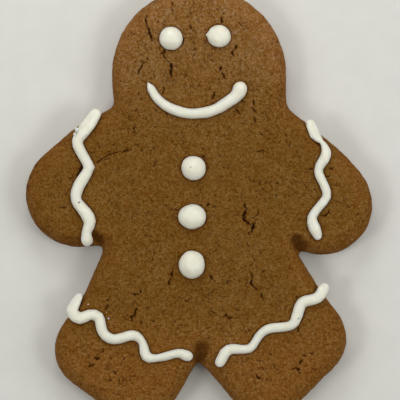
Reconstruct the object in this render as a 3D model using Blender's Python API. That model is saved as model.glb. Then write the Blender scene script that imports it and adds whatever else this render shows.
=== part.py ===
"""Gingerbread man cookie, lying face up, decorated with ten pieces of piped white icing.

Lengths are in millimetres in the tables below and are turned into metres as the meshes are made.
The origin is the middle of the underside's bounding box, +Y runs from the feet to the head and +Z up.
"""

import math

import bmesh
import bpy
import numpy as np

MM = 0.001

# Cookie body.
THICKNESS = 8.5
BELLY_HEIGHT = 3.0
RIM_WIDTH = 5.2
RIM_SQUARENESS = 2.4
TUCK_WIDTH = 1.0
TUCK_SQUARENESS = 2.6
RIM_STEPS = 7
TUCK_STEPS = 3
LONGEST_EDGE = 3.2
WIDEST_TURN = math.radians(15)

# Outline, counter-clockwise from the head: circle centre x, y, radius, and the way the edge turns on it.
# Straight runs join each circle to the next along their common tangent.
OUTWARD = 1
INWARD = -1
OUTLINE = (
    (0.0, 37.1, 25.3, OUTWARD),  # head
    (-26.2, 29.1, 1.7, INWARD),  # neck
    (-10.9, -13.0, 42.8, OUTWARD),  # shoulder
    (-34.7, 2.6, 15.3, OUTWARD),  # hand
    (-27.6, -12.5, 0.4, INWARD),  # armpit
    (-67.4, -7.8, 38.8, INWARD),  # waist
    (-29.5, -42.1, 12.1, OUTWARD),  # heel
    (-18.0, -48.7, 13.8, OUTWARD),  # toe
    (-0.2, -46.1, 0.6, INWARD),  # between the legs
    (19.7, -50.5, 11.5, OUTWARD),  # toe
    (30.5, -39.0, 12.1, OUTWARD),  # heel
    (67.5, -1.4, 40.0, INWARD),  # waist
    (28.2, -13.4, 0.4, INWARD),  # armpit
    (35.5, -0.4, 14.5, OUTWARD),  # hand
    (11.5, -16.7, 43.4, OUTWARD),  # shoulder
    (28.7, 29.4, 3.4, INWARD),  # neck
)

# Icing.
ICING_GAP = 0.3
DROOP_START = 2.0
DROOP_SLOPE = 0.5
DOT_HEIGHT_SHARE = 0.45
DOT_SQUARENESS = 2.3
DOT_SIDES = 20
DOT_STEPS = 5
SAME_HEIGHT = 0.01
BEAD_HEIGHT_SHARE = 0.66
BEAD_SQUARENESS = 2.2
BEAD_ARC_STEPS = 6
BEAD_STATION = 1.5
END_TURNS = tuple(math.radians(angle) for angle in (36, 62, 80))

# Dots: centre x, y, size across and size up the cookie.
DOTS = {
    "icing_eye_left": (-8.0, 47.5, 6.9, 6.9),
    "icing_eye_right": (5.8, 48.1, 7.0, 6.6),
    "icing_button_top": (-1.5, 10.2, 7.4, 7.2),
    "icing_button_middle": (-1.9, -3.8, 8.2, 7.4),
    "icing_button_bottom": (-2.0, -17.6, 7.7, 8.4),
}

# Piped lines: centre x, y and width of the bead where it bends, from one end to the other.
BEADS = {
    "icing_smile": (
        (-13.8, 33.1, 2.5),
        (-11.9, 30.1, 2.8),
        (-7.8, 27.2, 3.1),
        (-2.2, 25.9, 3.1),
        (4.1, 26.8, 3.3),
        (10.5, 30.7, 3.8),
        (11.8, 32.9, 4.5),
    ),
    "icing_sleeve_left": (
        (-29.9, 25.6, 3.6),
        (-31.9, 22.5, 4.1),
        (-34.9, 18.0, 3.4),
        (-33.4, 13.9, 3.2),
        (-31.7, 10.1, 3.1),
        (-34.5, 5.2, 3.6),
        (-35.3, 1.0, 3.2),
        (-32.6, -2.6, 3.7),
        (-31.3, -5.3, 3.7),
        (-32.3, -8.3, 2.9),
        (-32.2, -10.5, 3.7),
    ),
    "icing_sleeve_right": (
        (32.2, 23.0, 2.8),
        (33.5, 19.8, 3.2),
        (36.0, 16.8, 2.3),
        (36.6, 13.8, 3.1),
        (34.4, 9.4, 2.7),
        (36.8, 3.4, 2.8),
        (36.1, 0.8, 2.7),
        (32.6, -3.7, 2.8),
        (33.4, -7.2, 3.6),
        (34.1, -9.1, 3.0),
    ),
    "icing_trouser_left": (
        (-34.6, -26.9, 2.5),
        (-36.5, -31.0, 3.6),
        (-34.2, -33.1, 3.6),
        (-31.5, -32.0, 3.3),
        (-28.9, -32.7, 3.3),
        (-27.5, -37.2, 3.1),
        (-24.3, -39.1, 3.1),
        (-19.0, -37.9, 3.2),
        (-16.3, -39.9, 2.5),
        (-15.1, -44.0, 3.3),
        (-11.8, -44.5, 2.5),
        (-6.2, -43.1, 2.9),
        (-3.3, -43.9, 3.3),
    ),
    "icing_trouser_right": (
        (36.0, -24.4, 3.4),
        (34.1, -27.2, 3.4),
        (29.7, -28.5, 3.3),
        (28.4, -32.0, 3.3),
        (26.6, -35.0, 2.8),
        (20.6, -35.9, 2.9),
        (17.8, -37.5, 2.6),
        (14.6, -41.7, 2.6),
        (8.6, -42.1, 3.2),
        (6.1, -45.6, 3.3),
    ),
}

# Finishes.
BISCUIT_BROWN = (0.155, 0.070, 0.020, 1.0)
ICING_WHITE = (0.78, 0.77, 0.66, 1.0)
BISCUIT_ROUGHNESS = 0.85
ICING_ROUGHNESS = 0.4
SHARPEST_SMOOTH_ANGLE = math.radians(50)


def clear_scene():
    for obj in list(bpy.data.objects):
        bpy.data.objects.remove(obj, do_unlink=True)


def principled(name, colour, roughness):
    material = bpy.data.materials.new(name)
    material.use_nodes = True
    shader = material.node_tree.nodes["Principled BSDF"]
    shader.inputs["Base Color"].default_value = colour
    shader.inputs["Roughness"].default_value = roughness
    shader.inputs["Metallic"].default_value = 0.0
    material.diffuse_color = colour
    return material


def add_object(name, bm, material):
    """Turns a bmesh, modelled in millimetres, into an object in metres."""
    bmesh.ops.scale(bm, vec=(MM, MM, MM), verts=bm.verts)
    bmesh.ops.recalc_face_normals(bm, faces=bm.faces)
    mesh = bpy.data.meshes.new(name)
    bm.to_mesh(mesh)
    bm.free()
    mesh.materials.append(material)
    mesh.shade_smooth()
    mesh.set_sharp_from_angle(angle=SHARPEST_SMOOTH_ANGLE)
    obj = bpy.data.objects.new(name, mesh)
    bpy.context.scene.collection.objects.link(obj)
    return obj


def skin(loops):
    """A closed skin through equal loops of points: the first loop is extruded to each next one."""
    bm = bmesh.new()
    verts = [bm.verts.new(point) for point in loops[0]]
    edges = [bm.edges.new((a, b)) for a, b in zip(verts, verts[1:] + verts[:1])]
    bmesh.ops.contextual_create(bm, geom=edges)
    for loop in loops[1:]:
        grown = bmesh.ops.extrude_edge_only(bm, edges=edges)["geom"]
        copies = {vert.co.to_tuple(5): vert for vert in grown if isinstance(vert, bmesh.types.BMVert)}
        edges = [edge for edge in grown if isinstance(edge, bmesh.types.BMEdge)]
        verts = [copies[vert.co.to_tuple(5)] for vert in verts]
        for vert, point in zip(verts, loop):
            vert.co = point
    bmesh.ops.contextual_create(bm, geom=edges)
    bmesh.ops.triangulate(bm, faces=bm.faces[:])
    return bm


def superellipse(width, height, squareness, angle):
    """A point of a rounded corner: 0 at its widest, and at its height by a quarter turn."""
    across = width * math.cos(angle) ** (2 / squareness)
    up = height * math.sin(angle) ** (2 / squareness)
    return across, up


def quarter_turns(steps):
    return [math.pi / 2 * step / steps for step in range(steps + 1)]


def tangent_heading(first, second):
    """The direction of the straight run that leaves one outline circle and meets the next."""
    x, y, radius, turn = first
    next_x, next_y, next_radius, next_turn = second
    apart = math.hypot(next_x - x, next_y - y)
    bearing = math.atan2(next_y - y, next_x - x)
    return bearing - math.asin((next_turn * next_radius - turn * radius) / apart)


def outline_points():
    """Points along the outline, each with its outward direction."""
    count = len(OUTLINE)
    headings = [tangent_heading(OUTLINE[i], OUTLINE[(i + 1) % count]) for i in range(count)]
    found = []
    for i, (x, y, radius, turn) in enumerate(OUTLINE):
        start = headings[i - 1]
        sweep = turn * ((turn * (headings[i] - start)) % math.tau)
        steps = math.ceil(max(abs(sweep) / WIDEST_TURN, abs(sweep) * radius / LONGEST_EDGE, 1))
        for step in range(steps + 1):
            heading = start + sweep * step / steps
            outward = np.array((math.sin(heading), -math.cos(heading)))
            found.append((np.array((x, y)) + turn * radius * outward, outward))
    return fill_straights(found)


def fill_straights(corners):
    """Adds points along runs longer than LONGEST_EDGE, and drops points that coincide."""
    points = []
    outwards = []
    for (point, outward), (after, after_outward) in zip(corners, corners[1:] + corners[:1]):
        length = np.linalg.norm(after - point)
        steps = math.ceil(length / LONGEST_EDGE)
        for step in range(steps):
            share = step / steps
            blend = outward * (1 - share) + after_outward * share
            points.append(point + (after - point) * share)
            outwards.append(blend / np.linalg.norm(blend))
    return np.array(points), np.array(outwards)


def depth_inside(place):
    """How far a place is inside the outline, negative when it is outside."""
    run = np.roll(EDGE, -1, axis=0) - EDGE
    along = np.clip(((place - EDGE) * run).sum(1) / (run**2).sum(1), 0, 1)
    nearest = EDGE + run * along[:, None]
    distance = np.linalg.norm(place - nearest, axis=1).min()
    above = EDGE[:, 1] > place[1]
    crosses = above != np.roll(above, -1)
    level = np.where(crosses, run[:, 1], 1.0)
    crossing_x = EDGE[:, 0] + run[:, 0] * (place[1] - EDGE[:, 1]) / level
    inside = np.count_nonzero(crosses & (crossing_x > place[0])) % 2
    return distance if inside else -distance


def top_height(depth):
    """Height of the rounded top at a distance in from the edge."""
    if depth >= RIM_WIDTH:
        return THICKNESS
    share = (1 - depth / RIM_WIDTH) ** RIM_SQUARENESS
    return BELLY_HEIGHT + (THICKNESS - BELLY_HEIGHT) * (1 - share) ** (1 / RIM_SQUARENESS)


def icing_rest_height(x, y):
    """Where the underside of icing lies: just over the cookie, drooping gently past its edge."""
    depth = depth_inside(np.array((x, y)))
    over = max(DROOP_START - depth, 0)
    return top_height(max(depth, DROOP_START)) - DROOP_SLOPE * over + ICING_GAP


def cookie_profile():
    """Depth in from the edge and height of each ring, from the underside round to the flat top."""
    rings = []
    for angle in reversed(quarter_turns(TUCK_STEPS)):
        across, down = superellipse(TUCK_WIDTH, BELLY_HEIGHT, TUCK_SQUARENESS, angle)
        rings.append((TUCK_WIDTH - across, BELLY_HEIGHT - down))
    for angle in quarter_turns(RIM_STEPS)[1:]:
        across, up = superellipse(RIM_WIDTH, THICKNESS - BELLY_HEIGHT, RIM_SQUARENESS, angle)
        rings.append((RIM_WIDTH - across, BELLY_HEIGHT + up))
    return rings


def make_cookie(material):
    loops = []
    for depth, height in cookie_profile():
        ring = EDGE - EDGE_OUTWARD * depth
        loops.append([(x, y, height) for x, y in ring])
    add_object("cookie", skin(loops), material)


def make_dot(name, x, y, across, along, material):
    height = DOT_HEIGHT_SHARE * (across + along) / 2
    base = THICKNESS + ICING_GAP
    loops = []
    for angle in quarter_turns(DOT_STEPS)[:-1]:
        share, up = superellipse(1.0, height, DOT_SQUARENESS, angle)
        turns = [math.tau * side / DOT_SIDES for side in range(DOT_SIDES)]
        loops.append([
            (x + share * across / 2 * math.cos(turn), y + share * along / 2 * math.sin(turn), base + up)
            for turn in turns
        ])
    bm = skin(loops)
    crown_z = max(vert.co.z for vert in bm.verts)
    crown = [vert for vert in bm.verts if vert.co.z > crown_z - SAME_HEIGHT]
    bmesh.ops.translate(bm, verts=crown, vec=(0, 0, base + height - crown_z))
    add_object(name, bm, material)


def smooth_route(stations):
    """Even steps along a smooth curve through the stations, which carry x, y and width."""
    known = np.array(stations)
    padded = np.vstack([2 * known[0] - known[1], known, 2 * known[-1] - known[-2]])
    route = []
    for i in range(1, len(known)):
        before, start, end, after = padded[i - 1 : i + 3]
        steps = math.ceil(np.linalg.norm((end - start)[:2]) / BEAD_STATION)
        for step in range(steps):
            t = step / steps
            route.append(
                0.5 * (2 * start + (end - before) * t)
                + 0.5 * (2 * before - 5 * start + 4 * end - after) * t**2
                + 0.5 * (3 * start - before - 3 * end + after) * t**3
            )
    route.append(known[-1])
    return np.array(route)


def bead_stations(stations):
    """Centre, direction, half width and roundness of each cross-section, with rounded ends."""
    route = smooth_route(stations)
    heading = np.gradient(route[:, :2], axis=0)
    heading /= np.linalg.norm(heading, axis=1)[:, None]
    half = route[:, 2] / 2
    sections = [(route[i, :2], heading[i], half[i], 1.0) for i in range(len(route))]
    for turn in END_TURNS:
        reach = math.sin(turn)
        shrink = math.cos(turn)
        sections.append((route[-1, :2] + heading[-1] * half[-1] * reach, heading[-1], half[-1], shrink))
        sections.insert(0, (route[0, :2] - heading[0] * half[0] * reach, heading[0], half[0], shrink))
    return sections


def bead_section(centre, heading, half, shrink):
    """One cross-section: an arch over a base that lies on the cookie."""
    aside = np.array((-heading[1], heading[0]))
    height = BEAD_HEIGHT_SHARE * 2 * half * math.sqrt(shrink)
    section = []
    for step in range(BEAD_ARC_STEPS + 1):
        angle = math.pi * step / BEAD_ARC_STEPS
        side, up = superellipse(half * shrink, height, BEAD_SQUARENESS, min(angle, math.pi - angle))
        x, y = centre + aside * (side if angle <= math.pi / 2 else -side)
        section.append((x, y, icing_rest_height(x, y) + up))
    x, y = centre
    section.append((x, y, icing_rest_height(x, y)))
    return section


def make_bead(name, stations, material):
    loops = [bead_section(*section) for section in bead_stations(stations)]
    add_object(name, skin(loops), material)


def main():
    clear_scene()
    make_cookie(principled("gingerbread", BISCUIT_BROWN, BISCUIT_ROUGHNESS))
    icing = principled("icing", ICING_WHITE, ICING_ROUGHNESS)
    for name, (x, y, across, along) in DOTS.items():
        make_dot(name, x, y, across, along, icing)
    for name, stations in BEADS.items():
        make_bead(name, stations, icing)


EDGE, EDGE_OUTWARD = outline_points()
main()
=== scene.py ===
"""Looks of the gingerbread man: a baked body with cracks and pores, and hand-piped royal icing.

Laid out as an add-on and run as a script. Places in the tables are millimetres in the frame of the
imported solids: +X across the cookie, +Y from the feet to the head, +Z up out of the iced face.
"""

import math
import random

import bmesh
import bpy
import numpy as np
from bpy.props import FloatProperty, FloatVectorProperty, IntProperty, PointerProperty
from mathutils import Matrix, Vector, noise
from mathutils.bvhtree import BVHTree
from mathutils.kdtree import KDTree


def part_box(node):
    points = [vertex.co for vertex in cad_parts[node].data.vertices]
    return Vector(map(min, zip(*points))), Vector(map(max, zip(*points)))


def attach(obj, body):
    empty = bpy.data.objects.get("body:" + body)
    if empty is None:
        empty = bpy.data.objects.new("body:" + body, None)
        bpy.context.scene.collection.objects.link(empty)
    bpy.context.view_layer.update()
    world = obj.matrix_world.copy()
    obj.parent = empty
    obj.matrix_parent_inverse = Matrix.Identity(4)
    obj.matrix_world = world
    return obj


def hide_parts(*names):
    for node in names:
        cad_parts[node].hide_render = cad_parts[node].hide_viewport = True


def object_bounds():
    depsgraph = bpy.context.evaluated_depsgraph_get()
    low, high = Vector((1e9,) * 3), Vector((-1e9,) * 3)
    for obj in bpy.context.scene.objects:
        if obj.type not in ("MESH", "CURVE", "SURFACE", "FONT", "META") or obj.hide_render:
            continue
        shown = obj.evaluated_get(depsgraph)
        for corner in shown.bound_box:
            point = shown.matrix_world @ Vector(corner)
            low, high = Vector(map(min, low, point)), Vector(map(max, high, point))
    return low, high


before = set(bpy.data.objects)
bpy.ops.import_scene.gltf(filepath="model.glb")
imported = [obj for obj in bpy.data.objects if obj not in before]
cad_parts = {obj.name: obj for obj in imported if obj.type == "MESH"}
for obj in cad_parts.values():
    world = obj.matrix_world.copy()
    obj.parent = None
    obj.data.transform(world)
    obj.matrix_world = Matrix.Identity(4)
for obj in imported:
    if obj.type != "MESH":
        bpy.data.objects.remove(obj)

bl_info = {
    "name": "Gingerbread Man",
    "version": (1, 0, 0),
    "blender": (4, 5, 0),
    "location": "View3D > Sidebar > Gingerbread",
    "description": "Bakes a gingerbread man and pipes its icing around the packed solids",
    "category": "Object",
}

MM = 0.001
BODY = "root"
COOKIE_NODE = "cookie"
CAD_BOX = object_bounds()

# Width and depth of the sunken line along the icing, which also gets a painted contact shadow.
ICING_EDGE = 0.6 * MM
ICING_EDGE_DEPTH = 0.12 * MM

# Sizes of the broad waves, the lesser waves, the crumb on the face and the crumb on the sides.
WAVE = 16 * MM
LESSER_WAVE = 6 * MM
FACE_CRUMB = 1.6 * MM
SIDE_CRUMB = 0.9 * MM

# Spacing of the places along cracks, fissures and creases, and how far the first two sway aside.
CRACK_STEP = 0.11 * MM
CRACK_SWAY = 0.30 * MM
FISSURE_SWAY = 0.2 * MM

# Depths beyond which the painted shade in a crack or a crease gets no darker.
FULL_CREVICE = 0.5 * MM
FULL_CREASE = 1.0 * MM

# Reach of the redder colour in from the outline.
RIM_START = 0.3 * MM
RIM_END = 8 * MM

# Where the colours of the feet and of the head come in along +Y, and the painted light that makes the head
# brighter and paler.
FEET_REACH = (-50 * MM, -25 * MM)
HEAD_REACH = (15 * MM, 60 * MM)
HEAD_PAINTED_LIGHT = (1.40, 1.52, 2.75, 1.0)

# Cracks: width, depth, then the places that the crack runs through.
CRACKS = (
    # Left side of the head.
    (0.55, 0.7, (-15.1, 54.0), (-15.2, 53.0), (-15.1, 51.8), (-15.0, 50.6)),
    (0.80, 1.0, (-14.7, 50.5), (-14.4, 49.8), (-14.1, 48.8), (-13.9, 48.0), (-13.3, 47.3)),
    (0.45, 0.5, (-12.2, 52.1), (-11.5, 52.3)),
    (0.45, 0.5, (-10.7, 51.9), (-9.9, 51.3), (-9.3, 51.2)),
    (0.45, 0.5, (-7.7, 58.5), (-7.5, 57.2), (-7.2, 56.4)),
    (0.45, 0.5, (-7.9, 56.1), (-7.2, 55.2)),
    (0.5, 0.5, (-2.4, 55.2), (-2.1, 54.1)),
    (0.5, 0.4, (-3.7, 53.7), (-2.7, 53.8)),
    (0.5, 0.6, (-2.6, 51.5), (-2.2, 50.0)),
    (0.70, 0.8, (-9.7, 44.4), (-10.0, 43.5), (-11.0, 42.9)),
    (0.5, 0.6, (-10.3, 42.8), (-9.9, 42.1), (-9.5, 41.5)),
    (0.45, 0.5, (-9.2, 41.3), (-8.4, 40.5)),
    (0.95, 1.2, (-8.1, 40.2), (-7.8, 39.4), (-7.6, 38.6)),
    (0.75, 1.0, (-7.9, 38.9), (-8.1, 37.9), (-8.0, 36.5)),
    (0.65, 0.8, (-16.2, 39.8), (-16.6, 38.9), (-17.3, 38.1), (-17.5, 37.2)),
    (0.4, 0.4, (-14.7, 42.5), (-14.7, 41.3)),
    (0.4, 0.4, (-14.3, 45.0), (-13.8, 43.9)),
    (0.4, 0.4, (-20.6, 43.6), (-20.4, 42.6)),
    (0.4, 0.4, (-13.0, 37.4), (-12.9, 36.3)),
    (0.45, 0.5, (-10.0, 37.3), (-10.2, 36.5)),
    (0.4, 0.4, (-10.7, 35.6), (-10.6, 34.7)),
    (0.5, 0.7, (-10.1, 33.6), (-10.0, 32.6), (-10.4, 31.4)),
    # Middle and right side of the head.
    (0.4, 0.4, (-1.6, 47.7), (-1.4, 46.5), (-1.5, 45.2)),
    (0.5, 0.6, (-1.6, 44.1), (-0.9, 44.5), (-0.5, 44.1)),
    (0.4, 0.4, (-1.2, 43.5), (-1.5, 42.5)),
    (0.4, 0.4, (-4.0, 38.2), (-3.9, 37.0), (-4.1, 36.0)),
    (0.5, 0.5, (6.9, 55.1), (7.0, 54.3)),
    (0.70, 0.8, (6.6, 53.5), (6.5, 51.9)),
    (0.4, 0.4, (5.1, 55.9), (5.6, 55.4)),
    (0.5, 0.5, (11.7, 51.8), (12.6, 51.0)),
    (0.4, 0.4, (13.5, 51.2), (14.0, 50.1)),
    (0.4, 0.4, (12.8, 50.0), (13.4, 50.1)),
    (0.75, 0.8, (10.8, 45.7), (10.5, 44.8), (10.1, 44.1)),
    (0.70, 0.8, (9.8, 43.8), (9.6, 43.1), (9.9, 42.3)),
    (0.4, 0.4, (8.7, 41.4), (9.5, 42.0)),
    (0.4, 0.4, (3.2, 42.1), (3.7, 41.3), (4.1, 40.5)),
    (0.75, 0.9, (6.5, 39.4), (6.3, 38.6), (6.1, 38.0)),
    (0.65, 0.8, (6.6, 37.9), (7.0, 36.9), (7.4, 36.0), (7.9, 35.8)),
    (0.70, 0.7, (4.6, 32.0), (4.2, 30.9), (3.6, 30.0)),
    (0.45, 0.5, (3.3, 33.5), (2.9, 32.5)),
    # Chest.
    (0.45, 0.4, (-17.2, 31.8), (-17.4, 30.7)),
    (0.5, 0.4, (-19.8, 29.1), (-19.9, 28.0)),
    (0.45, 0.4, (-17.7, 27.4), (-18.4, 26.2)),
    (0.45, 0.5, (-12.7, 27.1), (-12.1, 26.4)),
    (0.5, 0.5, (-9.2, 26.0), (-9.3, 25.0)),
    (0.6, 0.6, (-19.0, 21.4), (-18.2, 22.1)),
    (0.5, 0.4, (-19.0, 20.4), (-18.2, 20.5)),
    (0.45, 0.4, (-12.9, 21.8), (-12.3, 22.2)),
    (0.45, 0.4, (-5.0, 21.0), (-5.1, 20.0)),
    (0.45, 0.4, (-18.4, 17.0), (-17.2, 16.8)),
    (0.5, 0.5, (-13.2, 15.6), (-12.8, 16.3)),
    (0.45, 0.5, (-13.9, 15.4), (-14.1, 14.4), (-13.8, 13.8)),
    (0.45, 0.5, (-12.0, 12.5), (-12.7, 11.4), (-12.8, 10.4)),
    (0.4, 0.4, (-6.4, 17.0), (-6.5, 16.1)),
    (0.5, 0.5, (-16.8, 15.3), (-16.1, 15.3)),
    (0.4, 0.4, (1.1, 16.2), (1.5, 15.2)),
    (0.5, 0.5, (1.0, 13.4), (1.9, 13.7)),
    (0.65, 0.8, (15.6, 29.8), (15.8, 29.0), (15.9, 28.2)),
    (0.65, 0.7, (15.2, 27.7), (15.8, 27.0), (16.2, 26.1)),
    (0.65, 0.7, (16.0, 24.8), (16.1, 24.0), (16.4, 23.4)),
    (0.4, 0.4, (15.5, 23.1), (15.0, 22.1)),
    (0.4, 0.4, (14.7, 21.0), (14.6, 20.2)),
    (0.60, 0.6, (10.7, 27.1), (11.3, 26.3), (12.0, 25.5)),
    (0.5, 0.4, (12.7, 23.3), (13.3, 22.8)),
    (0.4, 0.4, (8.5, 22.4), (8.9, 21.4), (9.2, 20.8)),
    (0.5, 0.5, (17.5, 20.1), (18.4, 19.7)),
    (0.45, 0.5, (24.7, 20.0), (25.3, 19.3)),
    (0.5, 0.5, (25.1, 18.2), (25.3, 17.3)),
    (0.4, 0.4, (26.2, 17.3), (26.0, 16.2)),
    (0.4, 0.4, (27.0, 21.6), (27.0, 20.1)),
    (0.4, 0.4, (19.2, 26.3), (19.3, 25.3)),
    (0.5, 0.7, (16.8, 14.8), (17.8, 15.1), (18.6, 15.4)),
    (0.4, 0.4, (28.2, 13.4), (29.6, 13.1)),
    (0.45, 0.5, (27.1, 8.4), (27.9, 8.1)),
    (0.4, 0.4, (8.6, 11.3), (8.5, 10.4)),
    # Left arm.
    (0.6, 0.7, (-29.3, 11.6), (-28.7, 12.5), (-27.6, 13.1)),
    (0.45, 0.5, (-27.4, 13.2), (-26.2, 13.8), (-25.2, 14.3)),
    (0.5, 0.6, (-25.3, 14.2), (-24.0, 14.7), (-23.0, 14.9), (-22.2, 15.1)),
    (0.7, 0.9, (-21.7, 14.9), (-21.1, 15.2), (-20.3, 15.3)),
    (0.5, 0.5, (-20.1, 15.4), (-19.2, 15.6)),
    (0.4, 0.4, (-27.0, 12.6), (-25.8, 13.0)),
    (0.45, 0.5, (-40.1, -1.2), (-39.0, -1.2), (-38.0, -1.0)),
    (0.45, 0.3, (-43.8, 2.2), (-42.2, 2.3)),
    (0.5, 0.5, (-37.5, 7.1), (-36.0, 7.4)),
    (0.8, 0.9, (-33.3, 11.6), (-33.7, 10.4), (-34.1, 9.3), (-35.0, 8.1)),
    # Belly.
    (0.55, 0.6, (-10.1, -0.2), (-9.4, -0.8)),
    (0.45, 0.5, (-8.5, -1.8), (-7.4, -1.6)),
    (0.45, 0.5, (-6.9, -1.6), (-6.0, -1.9)),
    (0.5, 0.5, (-13.8, 1.0), (-13.2, 0.4)),
    (0.4, 0.3, (-20.5, -2.4), (-19.8, -2.7)),
    (0.4, 0.4, (-7.4, 6.3), (-7.5, 5.5)),
    (0.4, 0.3, (-12.5, -2.8), (-11.6, -3.3)),
    (0.4, 0.4, (-15.4, -8.4), (-15.4, -9.3)),
    (0.35, 0.3, (-7.8, -8.2), (-7.7, -9.4), (-7.6, -11.0)),
    (0.6, 0.6, (2.2, -0.6), (3.1, -0.1)),
    (0.45, 0.5, (4.0, -0.9), (4.9, -0.9)),
    (0.6, 0.7, (-7.5, -19.2), (-7.8, -20.5), (-7.9, -21.3)),
    (0.65, 0.7, (-8.0, -21.4), (-8.5, -22.4), (-8.8, -23.5)),
    (0.55, 0.6, (3.0, -20.2), (3.5, -21.2), (4.0, -22.0), (4.7, -22.5)),
    (0.45, 0.5, (-2.0, -27.1), (-3.1, -27.8), (-3.7, -28.2), (-4.2, -27.7)),
    (0.4, 0.4, (-9.2, -30.5), (-9.9, -31.0), (-10.8, -31.8)),
    (0.45, 0.4, (-7.6, -34.0), (-6.4, -34.0)),
    (0.4, 0.4, (-6.1, -35.2), (-4.6, -35.0)),
    (0.4, 0.5, (3.2, -30.4), (3.6, -31.0), (4.6, -31.5), (5.2, -32.1)),
    (0.35, 0.4, (2.7, -38.5), (2.9, -39.4)),
    # Deep crack and its flake, right of the middle.
    (0.6, 0.9, (13.2, 0.0), (13.3, -0.8), (13.8, -1.5)),
    (0.9, 1.3, (13.5, -2.0), (13.1, -3.0), (12.7, -3.8)),
    (0.75, 1.2, (12.7, -3.9), (12.9, -4.5), (13.6, -5.1)),
    (0.65, 0.9, (13.6, -5.1), (14.3, -5.6), (14.9, -6.2)),
    (0.85, 1.3, (15.7, -5.8), (15.4, -7.0), (15.3, -8.1)),
    (0.5, 0.6, (17.3, -1.9), (17.0, -2.9), (16.6, -3.5)),
    (0.35, 0.4, (16.4, -3.6), (15.7, -4.2), (15.1, -4.5)),
    (0.45, 0.5, (14.5, -8.2), (14.2, -8.9), (14.7, -9.1)),
    (0.35, 0.3, (10.7, -8.3), (11.7, -7.9)),
    (0.6, 0.5, (12.2, 2.6), (12.1, 1.4)),
    # Right side of the belly.
    (0.45, 0.4, (14.6, 6.8), (15.1, 6.4)),
    (0.4, 0.4, (15.6, 6.7), (16.4, 6.0)),
    (0.55, 0.5, (22.1, 5.7), (23.1, 5.6)),
    (0.4, 0.4, (22.4, 2.6), (22.0, 1.3)),
    (0.45, 0.5, (18.0, -13.6), (17.6, -14.7)),
    (0.45, 0.5, (15.9, -15.8), (16.1, -16.8)),
    (0.4, 0.4, (15.7, -17.0), (15.0, -18.0)),
    (0.65, 0.7, (14.9, -20.1), (15.4, -20.9), (15.5, -21.8)),
    (0.75, 0.9, (15.4, -21.8), (14.9, -23.0), (15.4, -23.6), (15.9, -24.0)),
    (0.60, 0.7, (15.9, -24.0), (16.8, -24.9)),
    (0.4, 0.4, (12.9, -21.9), (14.4, -22.3)),
    (0.5, 0.5, (11.7, -22.0), (11.8, -23.0)),
    (0.5, 0.5, (8.5, -22.1), (7.9, -23.2)),
    (0.65, 0.7, (18.1, -25.7), (18.2, -26.7), (18.5, -27.5)),
    (0.70, 0.8, (6.9, -32.5), (7.8, -32.1), (8.3, -32.5), (8.8, -33.0), (9.7, -32.8)),
    (0.45, 0.4, (10.6, -30.5), (11.9, -30.9)),
    (0.4, 0.3, (11.7, -36.4), (13.6, -36.6)),
    (0.45, 0.5, (14.1, -36.1), (14.8, -36.7)),
    (0.5, 0.5, (20.2, -33.4), (21.1, -33.7)),
    # Left leg.
    (0.6, 0.6, (-16.8, -25.0), (-16.9, -25.7)),
    (0.65, 0.7, (-19.0, -26.0), (-18.4, -26.3), (-17.7, -25.8)),
    (0.5, 0.5, (-18.4, -28.2), (-19.0, -29.4)),
    (0.6, 0.7, (-17.8, -30.0), (-18.1, -30.8)),
    (0.8, 1.0, (-18.3, -30.9), (-18.6, -32.1)),
    (0.8, 1.0, (-18.9, -32.3), (-19.7, -32.8)),
    (0.5, 0.6, (-18.8, -33.1), (-19.6, -33.9)),
    (0.6, 0.6, (-16.4, -34.0), (-16.8, -34.7)),
    (0.6, 0.6, (-25.8, -27.4), (-26.4, -28.1)),
    (0.55, 0.7, (-26.2, -29.0), (-26.5, -29.9), (-26.6, -30.7)),
    (0.6, 0.6, (-13.5, -34.0), (-12.7, -34.0)),
    (1.0, 0.9, (-29.9, -44.5), (-29.2, -45.0), (-28.6, -44.5)),
    (0.7, 0.9, (-31.7, -46.9), (-30.9, -46.7), (-30.2, -46.3)),
    (0.5, 0.5, (-27.3, -41.7), (-27.5, -42.5), (-28.3, -43.0)),
    (0.45, 0.4, (-26.7, -48.0), (-25.2, -47.7)),
    (0.5, 0.6, (-24.8, -48.1), (-24.1, -48.8), (-23.7, -49.3)),
    (0.45, 0.5, (-26.1, -51.3), (-25.0, -50.5)),
    (0.4, 0.4, (-23.0, -49.9), (-23.0, -51.9)),
    (0.55, 0.5, (-21.2, -44.3), (-21.7, -45.1)),
    (0.6, 0.5, (-18.6, -43.3), (-18.8, -44.2)),
    (0.4, 0.4, (-34.6, -49.8), (-33.2, -49.7)),
    (0.4, 0.4, (-22.3, -45.9), (-22.1, -46.8)),
    # Right leg.
    (0.45, 0.5, (20.1, -43.1), (20.9, -43.9)),
    (0.45, 0.4, (16.9, -45.2), (18.0, -45.5)),
    (0.4, 0.3, (14.5, -44.4), (13.8, -45.6)),
    (0.35, 0.3, (23.2, -44.9), (24.0, -44.4), (25.0, -44.4), (25.8, -44.9)),
    (0.45, 0.4, (19.0, -47.5), (20.1, -47.5)),
    (0.45, 0.5, (21.1, -46.1), (21.9, -46.9), (22.3, -47.7)),
    (0.5, 0.5, (26.9, -47.6), (27.9, -47.3)),
    (0.75, 0.9, (27.9, -47.2), (28.5, -47.6), (28.8, -48.2)),
    (0.45, 0.5, (28.8, -48.2), (29.2, -49.1)),
    (0.6, 0.7, (29.9, -44.9), (29.3, -45.7), (28.9, -46.3)),
    (0.55, 0.6, (29.9, -43.5), (30.9, -43.9)),
    (0.5, 0.5, (31.7, -43.0), (32.5, -43.3), (33.3, -42.8)),
    (0.8, 0.9, (16.6, -49.6), (17.1, -50.1), (17.6, -50.5)),
    (0.4, 0.4, (32.5, -47.2), (33.1, -48.0)),
    (0.4, 0.4, (31.3, -33.1), (32.0, -34.1)),
    (0.6, 0.6, (28.6, -35.6), (28.7, -36.9)),
    (0.4, 0.3, (26.0, -43.2), (26.9, -42.8)),
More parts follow.
